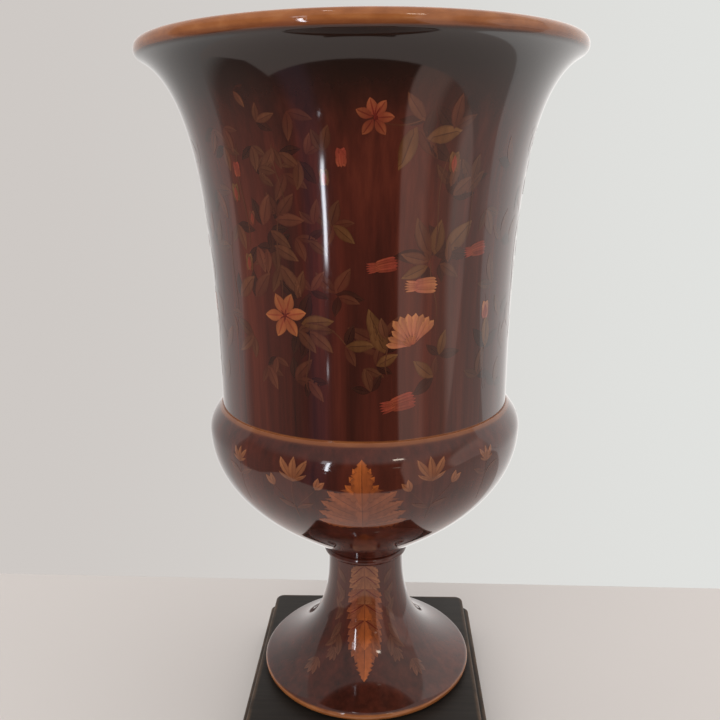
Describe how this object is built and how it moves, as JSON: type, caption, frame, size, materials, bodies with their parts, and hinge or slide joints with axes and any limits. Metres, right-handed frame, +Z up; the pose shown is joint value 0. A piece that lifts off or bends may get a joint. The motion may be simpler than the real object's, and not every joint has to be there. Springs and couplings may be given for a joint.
{
  "type": "campana urn",
  "caption": "Glazed ceramic campana urn with a flared bell, a rounded belly and a trumpet foot, bolted through a stepped square wooden plinth",
  "frame": {"origin": "centre of the plinth, on the surface that the pads stand on", "axes": "+Z up the urn's axis; -Y is the front, where the painted leaf of the belly faces; the plinth's sides lie along X and Y"},
  "size_m": [0.2339, 0.2338, 0.399],
  "materials": {
    "mahogany_glaze": "high-gloss dark red-brown glaze with painted ochre lines, leaves and flowers",
    "ebonised_wood": "satin black-brown lacquer, edges rubbed a little lighter",
    "plated_steel": "zinc-plated",
    "soft_washer": "matte",
    "felt": "napped"
  },
  "bodies": {
    "root": {"urn_bowl": "mahogany_glaze", "pedestal_foot": "mahogany_glaze", "plinth_top": "ebonised_wood", "plinth_base": "ebonised_wood", "tie_bolt": "plated_steel", "bowl_washer": "plated_steel", "bowl_gasket": "soft_washer", "neck_gasket": "soft_washer", "foot_gasket": "soft_washer", "plinth_washer": "plated_steel", "tie_nut": "plated_steel", "plinth_screws": "plated_steel", "base_pads": "felt"}
  },
  "joints": []
}
